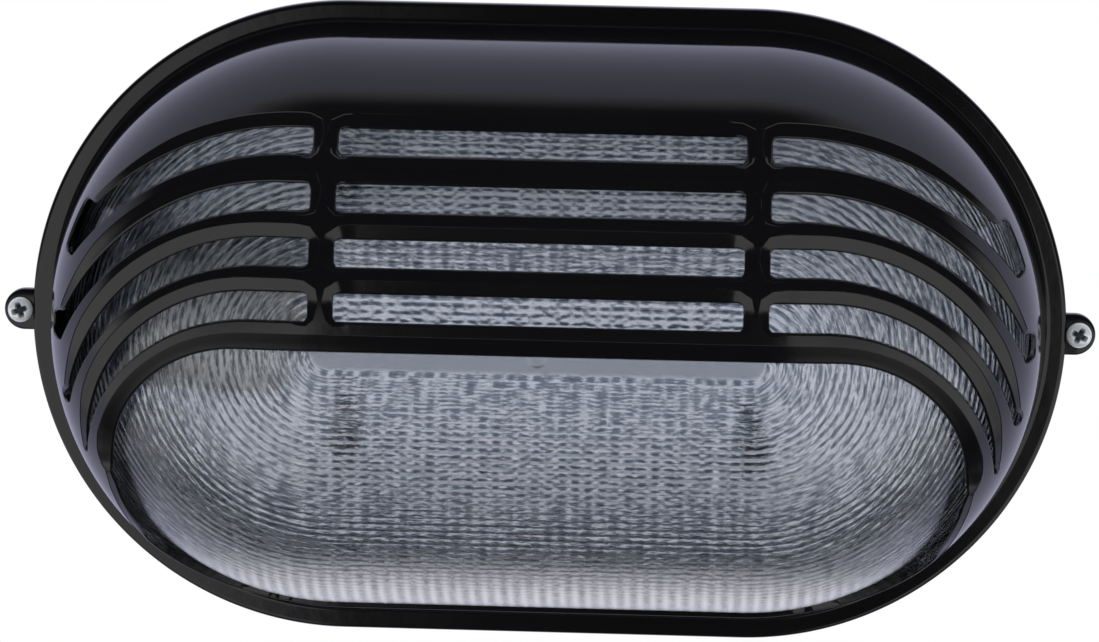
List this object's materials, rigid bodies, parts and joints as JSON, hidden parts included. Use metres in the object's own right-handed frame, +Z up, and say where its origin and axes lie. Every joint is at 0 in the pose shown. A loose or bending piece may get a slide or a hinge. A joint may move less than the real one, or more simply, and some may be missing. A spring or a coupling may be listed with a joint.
{
  "type": "wall lamp",
  "caption": "Oval bulkhead wall lamp: cast base, ribbed glass bowl, and a domed cover with long slots over an eyelid opening, held by screws through end ears.",
  "frame": {"origin": "middle of the flat back, on the wall", "axes": "+Y into the wall, +X to the right as one faces the lamp, +Z up"},
  "size_m": [0.2862, 0.109, 0.166],
  "materials": {
    "black_paint": "gloss black stoved paint on cast aluminium",
    "cover_paint": "gloss black stoved paint on cast aluminium",
    "rubber": "matt black rubber",
    "clear_glass": "clear pressed glass, ribbed inside",
    "zinc_plate": "bright zinc plate",
    "bright_aluminium": "bright rolled sheet",
    "ceramic": "glazed white porcelain",
    "brass": "plain brass",
    "block_plastic": "off-white moulded plastic",
    "brown_pvc": "brown wire insulation",
    "blue_pvc": "blue wire insulation"
  },
  "bodies": {
    "base": {"base_housing": "black_paint", "base_gasket": "rubber", "reflector": "bright_aluminium", "reflector_screw_1": "zinc_plate", "reflector_screw_2": "zinc_plate", "lampholder_bracket": "zinc_plate", "bracket_screw_1": "zinc_plate", "bracket_screw_2": "zinc_plate", "lampholder_body": "ceramic", "lampholder_shell": "brass", "lampholder_contact": "brass", "lampholder_screw_1": "zinc_plate", "lampholder_screw_2": "zinc_plate", "terminal_block": "block_plastic", "terminal_clamp_live": "brass", "terminal_clamp_neutral": "brass", "terminal_screw_1": "zinc_plate", "terminal_screw_2": "zinc_plate", "terminal_screw_3": "zinc_plate", "terminal_screw_4": "zinc_plate", "terminal_block_screw": "zinc_plate", "earth_washer": "brass", "earth_screw": "zinc_plate", "wire_live": "brown_pvc", "wire_neutral": "blue_pvc", "cable_grommet": "rubber"},
    "cover": {"eyelid_cover": "cover_paint", "glass": "clear_glass"},
    "screw_left": {"cover_screw_left": "zinc_plate"},
    "screw_right": {"cover_screw_right": "zinc_plate"}
  },
  "joints": [
    {"name": "cover_release", "type": "slide", "parent": "base", "child": "cover", "axis": [0, -1, 0], "range_m": [0, 0.11]},
    {"name": "screw_left_turn", "type": "hinge", "parent": "cover", "child": "screw_left", "pos_m": [-0.1387, -0.0402, 0], "axis": [0, -1, 0], "continuous": true},
    {"name": "screw_right_turn", "type": "hinge", "parent": "cover", "child": "screw_right", "pos_m": [0.1387, -0.0402, 0], "axis": [0, -1, 0], "continuous": true}
  ]
}
